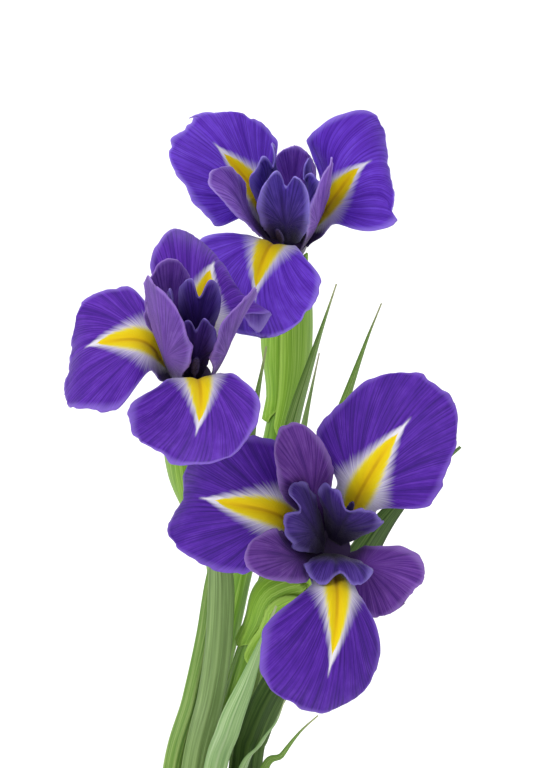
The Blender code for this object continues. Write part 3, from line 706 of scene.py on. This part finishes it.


# iris petal: soft tissue lit through from behind; fine veins run out like a fan from the
# throat, with darker and paler streaks between them; the thin margin is painted paler and
# bluer as a painted glow of light along the edge, and towards the throat the colour is
# painted dark as painted shade (on the falls' undersides it turns to the haft's own green)
def petal_skin(name, dark, deep, body, pale, rim, throat, signal=True, glow_share=0.25,
               throat_to=0.42):
    mat, out = blank_material(name)
    tree = mat.node_tree
    fan = node(tree, "ShaderNodeUVMap", uv_map="fan")
    veins = fibres(tree, fan, (330.0, 3.0, 1.0), 3.0, 0.55)
    streaks = fibres(tree, fan, (44.0, 9.0, 1.0), 4.0, 0.6)
    tone = node(tree, "ShaderNodeValToRGB", links={"Fac": streaks.outputs["Fac"]},
                stops=((0.22, deep), (0.52, body), (0.88, pale)))
    vein_mask = node(tree, "ShaderNodeMapRange",
                     {"From Min": 0.38, "From Max": 0.52, "To Min": 0.62, "To Max": 0.0},
                     {"Value": veins.outputs["Fac"]})
    veined = node(tree, "ShaderNodeMix", {7: linear(dark)},
                  {"Factor": vein_mask, 6: tone.outputs["Color"]}, data_type="RGBA")
    bright_mask = node(tree, "ShaderNodeMapRange",
                       {"From Min": 0.54, "From Max": 0.70, "To Min": 0.0, "To Max": 0.45},
                       {"Value": veins.outputs["Fac"]})
    lit = node(tree, "ShaderNodeMix", {7: linear(pale)},
               {"Factor": bright_mask, 6: veined.outputs[2]}, data_type="RGBA")
    # painted light: the thin margin is mixed towards the paler rim colour, a painted glow of light
    # along the petal's edge
    edge = node(tree, "ShaderNodeAttribute", attribute_name="rim")
    painted_rim_glow_mask = node(tree, "ShaderNodeMapRange",
                     {"From Min": 0.0, "From Max": 0.55, "To Min": 0.75, "To Max": 0.0},
                     {"Value": edge.outputs["Fac"]}, interpolation_type="SMOOTHSTEP")
    with_painted_rim_glow = node(tree, "ShaderNodeMix", {7: linear(rim)},
                  {"Factor": painted_rim_glow_mask, 6: lit.outputs[2]}, data_type="RGBA")
    # painted shade: the colour darkens towards the petal's foot, where shade falls in the throat
    # among the other petals; on the falls' undersides the same mix gives the haft's own green
    along = node(tree, "ShaderNodeAttribute", attribute_name="along")
    throat_colour_and_shade_mask = node(tree, "ShaderNodeMapRange",
                   {"From Min": 0.10, "From Max": throat_to, "To Min": 0.9, "To Max": 0.0},
                   {"Value": along.outputs["Fac"]}, interpolation_type="SMOOTHSTEP")
    colour = node(tree, "ShaderNodeMix", {7: linear(throat)},
                  {"Factor": throat_colour_and_shade_mask, 6: with_painted_rim_glow.outputs[2]}, data_type="RGBA")
    if signal:
        barbs = fibres(tree, fan, (150.0, 1.0, 1.0), 2.0, 0.5)
        barb = node(tree, "ShaderNodeMath", {1: 2.0, 2: -1.0}, {0: barbs.outputs["Fac"]},
                    operation="MULTIPLY_ADD")
        halo = node(tree, "ShaderNodeAttribute", attribute_name="halo")
        ragged = node(tree, "ShaderNodeMath", {1: 0.6}, {0: barb}, operation="MULTIPLY")
        halo_field = node(tree, "ShaderNodeMath", links={0: halo.outputs["Fac"], 1: ragged},
                          operation="ADD")
        haze = node(tree, "ShaderNodeMapRange", {"From Min": -0.85, "From Max": 0.60},
                    {"Value": halo_field}, interpolation_type="SMOOTHSTEP")
        white = node(tree, "ShaderNodeMix", {7: linear("#FAF8FC")},
                     {"Factor": haze, 6: colour.outputs[2]}, data_type="RGBA")
        sign = node(tree, "ShaderNodeAttribute", attribute_name="signal")
        small = node(tree, "ShaderNodeMath", {1: 0.30}, {0: barb}, operation="MULTIPLY")
        sign_field = node(tree, "ShaderNodeMath", links={0: sign.outputs["Fac"], 1: small},
                          operation="ADD")
        yellow_mask = node(tree, "ShaderNodeMapRange", {"From Min": -0.22, "From Max": 0.22},
                           {"Value": sign_field}, interpolation_type="SMOOTHSTEP")
        yellow = node(tree, "ShaderNodeValToRGB", links={"Fac": sign_field},
                      stops=((0.0, "#F6EC6A"), (0.30, "#FFE60A"), (0.95, "#FFD800")))
        spot = node(tree, "ShaderNodeUVMap", uv_map="blade")
        cut = node(tree, "ShaderNodeSeparateXYZ", links={0: spot})
        off = node(tree, "ShaderNodeMath", {1: 0.5}, {0: cut.outputs["X"]}, operation="SUBTRACT")
        dist = node(tree, "ShaderNodeMath", links={0: off}, operation="ABSOLUTE")
        ridge = node(tree, "ShaderNodeMapRange",
                     {"From Min": 0.002, "From Max": 0.009, "To Min": 0.45, "To Max": 0.0},
                     {"Value": dist}, interpolation_type="SMOOTHSTEP")
        ends = node(tree, "ShaderNodeMapRange",
                    {"From Min": 0.50, "From Max": 0.62, "To Min": 1.0, "To Max": 0.0},
                    {"Value": cut.outputs["Y"]})
        ridge_mask = node(tree, "ShaderNodeMath", links={0: ridge, 1: ends}, operation="MULTIPLY")
        ridged = node(tree, "ShaderNodeMix", {7: linear("#C98F0A")},
                      {"Factor": ridge_mask, 6: yellow.outputs["Color"]}, data_type="RGBA")
        colour = node(tree, "ShaderNodeMix",
                      links={"Factor": yellow_mask, 6: white.outputs[2], 7: ridged.outputs[2]},
                      data_type="RGBA")
    relief = node(tree, "ShaderNodeBump", {"Strength": 0.45, "Distance": 0.0005},
                  {"Height": veins.outputs["Fac"]})
    thin_tissue(tree, out, colour.outputs[2], relief, glow_share,
                {"Roughness": 0.6, "IOR": 1.38, "Specular IOR Level": 0.3,
                 "Sheen Weight": 0.12, "Sheen Roughness": 0.4}, {"Normal": relief})
    return mat


# one row for each petal, in the order of SHAPE_KEYS: angles in degrees, sizes in millimetres,
# and the rest as shares of the width or the length
FALLS = {
    "top": [(147, (70, 38, 4), 52.5, 44, -13, 6, 0.02, 0.47, 0.08, 0.05),
            (11, (66, 60, -72), 53, 40, 27, 34, 0.03, 0.57, -0.06, 0.0),
            (251, (61, 7, 9), 72, 42, 27, -16, 0.07, 0.58, -0.06, 0.07)],
    "left": [(171, (66, -19, -78), 51, 44, -7, -6, 0.10, 0.50, 0.20, -0.05),
             (270, (66, 11, 17), 70, 38.5, -24, 5, 0.07, 0.61, -0.09, 0.07),
             (76, (68, 26, -75), 47, 44, -16, 29, -0.26, 0.62, -0.18, 0.05)],
    "front": [(54, (71, 28, 9), 65, 43, -18, -7, -0.05, 0.49, 0.01, -0.06),
              (164, (60, -16, -74), 66, 43, -24, -19, 0.10, 0.47, -0.01, -0.04),
              (263, (59, -2, -68), 71, 38.5, -15, -19, -0.26, 0.64, -0.11, 0.0)],
}
SHAPE_KEYS = ("azimuth", "rise", "length", "width", "bend", "twist", "cup", "widest", "uneven",
              "skew")
# painted light and shade: one fall colour in lit and shaded copies, lightest on the top flower and
# darkest on the front one, with more light let through the top one's petals
FALL_SKINS = {
    "top": petal_skin("velvety_violet_fall_lit", "#4717A0", "#5F27BC", "#7640DA", "#9264F4",
                      "#AE92F6", "#2A1145", glow_share=0.40),
    "left": petal_skin("velvety_violet_fall", "#36107C", "#4D1C9C", "#642CB6", "#824CD8",
                       "#9C7CE2", "#260F40", glow_share=0.32),
    "front": petal_skin("velvety_violet_fall_painted_shade", "#2C0C68", "#43188E", "#5824A8", "#7440C6",
                        "#8866D0", "#220C3A", glow_share=0.26),
}
fall_underside = petal_skin("violet_fall_underside", "#452491", "#5C37A6", "#7250B8", "#8C70CC",
                            "#9C86D8", "#7D8A52", signal=False)
# where each fall's margin is notched: place across, depth and width
NOTCHES = {("top", 1): (0.30, 0.03, 0.30), ("top", 2): (-0.1, 0.03, 0.35),
           ("top", 3): (0.1, 0.0, 0.3), ("left", 1): (0.0, 0.03, 0.35),
           ("left", 2): (-0.35, 0.04, 0.35), ("left", 3): (0.0, 0.02, 0.35),
           ("front", 1): (0.0, 0.01, 0.35), ("front", 2): (0.1, 0.02, 0.35),
           ("front", 3): (-0.3, 0.03, 0.35)}


def grow_petals(kind, cad_kind, slot, rows, skins, grid, millimetres, underside=None, **build):
    """Every petal of one kind: its surface, its piece in the scene and its thickness."""
    for which, petals in rows.items():
        both_sides = [skins[which], underside] if underside else [skins[which]]
        for n, petal in enumerate(petals, 1):
            shape = dict(zip(SHAPE_KEYS, petal), **build)
            if kind == "fall":
                shape["notch"] = NOTCHES[which, n]
            cad_node = f"{cad_kind}_{which}_{n}"
            mesh = petal_mesh(cad_node, shape, which, both_sides, *grid,
                              f"{which} {kind.split('_')[-1]} {n}")
            thicken(link_piece(f"iris_{kind}_{which}_{n}", mesh, [cad_node]),
                    millimetres, len(both_sides) - 1)


grow_petals("fall", "fall", "fall_violet", FALLS, FALL_SKINS, (64, 72), 0.45, fall_underside,
            ring=5.6, lift=0.0, base_width=7.0, haft=0.34, widen=(0.22, 0.52, 0.29),
            bend_from=0.35, groove=0.7, frill=1.1)

# ---------------------------------------------------------------- standards
# The three inner petals, narrower and standing up between the falls: the same soft tissue
# in a redder violet, with no signal, drawn in to a claw where they leave the tube, and
# darkened there with painted shade.
STANDARDS = {
    "top": [(83.5, (60, 81, 84), 33, 15.5, 0, 4, 0.12, 0.55, 0, 0),
            (204, (62, 72, 44), 51, 18.5, -1, -18, 0.2, 0.54, 0, -0.05),
            (327, (72, 84, 84), 50, 17, 6, 3, 0.10, 0.55, 0, 0)],
    "left": [(122.5, (66, 80, 84), 43, 17, 0, -6, 0.14, 0.54, 0.08, -0.02),
             (212, (74, 84, 82), 56, 25, 0, 0, 0.16, 0.56, 0, -0.05),
             (334, (74, 80, 76), 52, 20, -18, 0, 0.14, 0.55, 0, 0)],
    "front": [(118, (64, 58, 52), 49, 19, 16, -4, 0.20, 0.55, 0.05, -0.05),
              (211, (58, 56, 34), 49, 18, -12, -8, 0.16, 0.52, 0.05, -0.06),
              (314, (50, 8, -30), 27, 25, 0, 8, 0.14, 0.70, 0.06, 0.04)],
}
# painted light and shade: one standard colour in lit and shaded copies, lightest on the top flower
# and darkest on the front one
STANDARD_SKINS = {
    "top": petal_skin("red_violet_standard_lit", "#5A2A9C", "#7A46BC", "#9664D2", "#B48AE8",
                      "#C0A4EE", "#32154E", signal=False, glow_share=0.40),
    "left": petal_skin("red_violet_standard", "#4A2286", "#62349E", "#7C4AB8", "#9C6ED4",
                       "#AA86DC", "#2C1446", signal=False, glow_share=0.32),
    "front": petal_skin("red_violet_standard_painted_shade", "#401A74", "#5A2A90", "#7440A8", "#9464C4",
                        "#A07CCC", "#2A1044", signal=False, glow_share=0.28),
}
grow_petals("standard", "standard", "standard_mauve", STANDARDS, STANDARD_SKINS, (44, 56), 0.4,
            ring=5.6, lift=0.8, base_width=6.6, haft=0.48, widen=(0.10, 0.50, 0.20),
            bend_from=0.05, groove=0.35, frill=0.8)

# ---------------------------------------------------------------- style arms
# Three petal-like arms over the falls' hafts close the throat. Each is channelled and
# blue-violet, with painted shade darkening it low down, and ends in a two-lobed crest with
# a thin rim that curls, painted pale as a glow of light along the edge.
# painted light and shade: one style-arm colour in lit and shaded copies, the top flower's with the
# brightest rim and the front one's darkest; the painted shade at the foot reaches further along on
# the left and front flowers
ARM_SKINS = {
    "top": petal_skin("blue_violet_style_arm_lit", "#26135E", "#3C2288", "#5238A8", "#7458CC",
                      "#A896F2", "#1A0A30", signal=False, glow_share=0.22,
                      throat_to=0.62),
    "left": petal_skin("blue_violet_style_arm", "#2A1662", "#40267F", "#56369C", "#7455BC",
                       "#8E7AD2", "#1E0C34", signal=False, glow_share=0.2,
                       throat_to=0.8),
    "front": petal_skin("blue_violet_style_arm_painted_shade", "#24125A", "#382072", "#4C3090", "#694DB0",
                        "#8C7AD0", "#180A2C", signal=False, glow_share=0.18,
                        throat_to=0.86),
}
STYLE_ARMS = {
    "top": [(147, (76, 84, 96), 42, 14.5, 0, 0, -0.35, 0.72, 0, 0),
            (11, (80, 86, 96), 38, 13, 0, 0, -0.35, 0.72, 0, 0),
            (260, (72, 82, 104), 51, 17, 0, 0, -0.50, 0.62, 0, 0)],
    "left": [(171, (78, 84, 92), 40, 13, 0, 0, -0.3, 0.72, 0, 0),
             (270, (82, 88, 96), 36, 12, 0, 0, -0.3, 0.72, 0, 0),
             (76, (78, 86, 94), 40, 13, 0, 0, -0.3, 0.72, 0, 0)],
    "front": [(54, (84, 88, 84), 31, 22, 0, 0, -0.30, 0.70, 0, 0),
              (164, (73, 62, 54), 35, 21, 0, 0, -0.10, 0.66, 0, 0),
              (264, (67, 62, -8), 32, 21, 0, 0, -0.14, 0.74, 0, 0)],
}
grow_petals("style_arm", "style", "style_blue_violet", STYLE_ARMS, ARM_SKINS, (40, 48), 0.45,
            ring=2.2, lift=1.0, base_width=4.6, haft=0.5, widen=(0.15, 0.54, 0.12),
            bend_from=0.3, groove=0.6, frill=1.5, notch=(0.0, 0.20, 0.26), curl=-30.0)

# ---------------------------------------------------------------- stamens
# One stamen lies under each style arm: a thin violet thread that ends in a flat anther with
# two pollen sacs, in the shade of the arm.
# anther: dry and grainy, a dull violet that is a little paler on the sacs than on the thread
stamen_skin, out = blank_material("iris_stamen_dusky_violet")
tree = stamen_skin.node_tree
place = node(tree, "ShaderNodeTexCoord")
dust = node(tree, "ShaderNodeTexNoise", {"Scale": 1800.0, "Detail": 2.0},
            {"Vector": place.outputs["Object"]})
pollen = node(tree, "ShaderNodeValToRGB", links={"Fac": dust.outputs["Fac"]},
              stops=((0.35, "#32245A"), (0.65, "#5C4E86")))
along = node(tree, "ShaderNodeAttribute", attribute_name="along")
on_sac = node(tree, "ShaderNodeMapRange", {"From Min": 0.44, "From Max": 0.52},
              {"Value": along.outputs["Fac"]})
colour = node(tree, "ShaderNodeMix", {6: linear("#3A2668")},
              {"Factor": on_sac, 7: pollen.outputs["Color"]}, data_type="RGBA")
relief = node(tree, "ShaderNodeBump", {"Strength": 0.5, "Distance": 0.0002},
              {"Height": dust.outputs["Fac"]})
powder = node(tree, "ShaderNodeBsdfPrincipled", {"Roughness": 0.85},
              {"Base Color": colour.outputs[2], "Normal": relief})
tree.links.new(powder.outputs[0], out.inputs["Surface"])
# how far along, half width and half depth
STAMEN = ((0.4, 0.5, 0.5), (6, 0.5, 0.5), (11, 0.5, 0.5), (12.5, 1.1, 0.55), (15, 1.2, 0.6),
          (18, 1.2, 0.6), (22, 0.9, 0.5), (23.5, 0.4, 0.3))
SIDES = 18
for which in FALLS:
    for n, petal in enumerate(FALLS[which], 1):
        turn = Matrix.Rotation(math.radians(petal[0]), 4, "Z")
        lean = math.radians(0.3 * petal[1][0] + 0.7 * STYLE_ARMS[which][n - 1][1][0] - 1)
        rows, alongs = [], []
        for run, wide, deep in rounded(STAMEN, 4):
            centre = Vector((3.9 + run * math.cos(lean), 0, run * math.sin(lean)))
            flat = Vector((-math.sin(lean), 0, math.cos(lean)))
            ring = []
            for k in range(SIDES):
                a = math.tau * k / SIDES
                split = 1.0 - 0.35 * math.exp(-(math.cos(a) / 0.25) ** 2) * smooth(run - 11.5)
                ring.append(stance(which) @ (turn @ (centre + Vector((0, 1, 0))
                            * (wide * math.cos(a)) + flat * (deep * math.sin(a) * split))))
                alongs.append(run / STAMEN[-1][0])
            rows.append(ring)
        verts = [p * MM for ring in rows for p in ring]
        faces = [(r * SIDES + k, r * SIDES + (k + 1) % SIDES, (r + 1) * SIDES + (k + 1) % SIDES,
                  (r + 1) * SIDES + k) for r in range(len(rows) - 1) for k in range(SIDES)]
        faces += [tuple(reversed(range(SIDES))), tuple(range(len(verts) - SIDES, len(verts)))]
        mesh = smooth_mesh(f"stamen_{which}_{n}", verts, faces)
        mesh.attributes.new("along", "FLOAT", "POINT").data.foreach_set("value", alongs)
        mesh.materials.append(stamen_skin)
        link_piece(f"iris_stamen_{which}_{n}", mesh, [f"stamen_{which}_{n}"])

# ---------------------------------------------------------------- studio
# A plain white table and soft light from above, from the left and through the petals.
pale_top, out = blank_material("matte_white_table")
tree = pale_top.node_tree
place = node(tree, "ShaderNodeTexCoord")
grain = node(tree, "ShaderNodeTexNoise", {"Scale": 3.0, "Detail": 2.0},
             {"Vector": place.outputs["Object"]})
tone = node(tree, "ShaderNodeValToRGB", links={"Fac": grain.outputs["Fac"]},
            stops=((0.3, "#F6F6F5"), (0.7, "#F8F8F7")))
matte = node(tree, "ShaderNodeBsdfPrincipled", {"Roughness": 0.9, "Specular IOR Level": 0.1},
             {"Base Color": tone.outputs["Color"]})
tree.links.new(matte.outputs[0], out.inputs["Surface"])
top_mesh = bpy.data.meshes.new("table")
top_mesh.from_pydata([(-9, -6, 0), (9, -6, 0), (9, 14, 0), (-9, 14, 0)], [], [(0, 1, 2, 3)])
top_mesh.materials.append(pale_top)
put("white_table", top_mesh)


def soft_light(name, place, aim, softness, power):
    lamp = bpy.data.lights.new(name, "SUN")
    lamp.angle, lamp.energy = softness, power
    light = put(name, lamp)
    light.location = place
    light.rotation_euler = (Vector(aim) - Vector(place)).to_track_quat("-Z", "Y").to_euler()


soft_light("front_left_box", (-2.2, -2.6, 3.4), (0, 0, 0.3), 0.6, 1.9)
soft_light("back_box", (1.0, 3.0, 3.0), (0, 0, 0.3), 0.6, 1.6)
room = bpy.data.worlds.new("bright_room")
room.use_nodes = True
room.node_tree.nodes["Background"].inputs["Color"].default_value = (1.0, 1.0, 1.0, 1.0)
room.node_tree.nodes["Background"].inputs["Strength"].default_value = 0.66
bpy.context.scene.world = room
bpy.context.scene.view_settings.view_transform = "Standard"

aim, distance, lift = Vector((0.0224, -0.035, 0.347)), 1.1, math.radians(20.0)
lens = bpy.data.cameras.new("camera")
lens.lens, lens.sensor_width, lens.clip_start, lens.clip_end = 159.7, 36.0, 0.05, 60.0
camera = put("camera", lens)
camera.location = aim + distance * Vector((0.0, -math.cos(lift), math.sin(lift)))
camera.rotation_euler = (math.radians(90.0) - lift, 0.0, 0.0)
bpy.context.scene.camera = camera
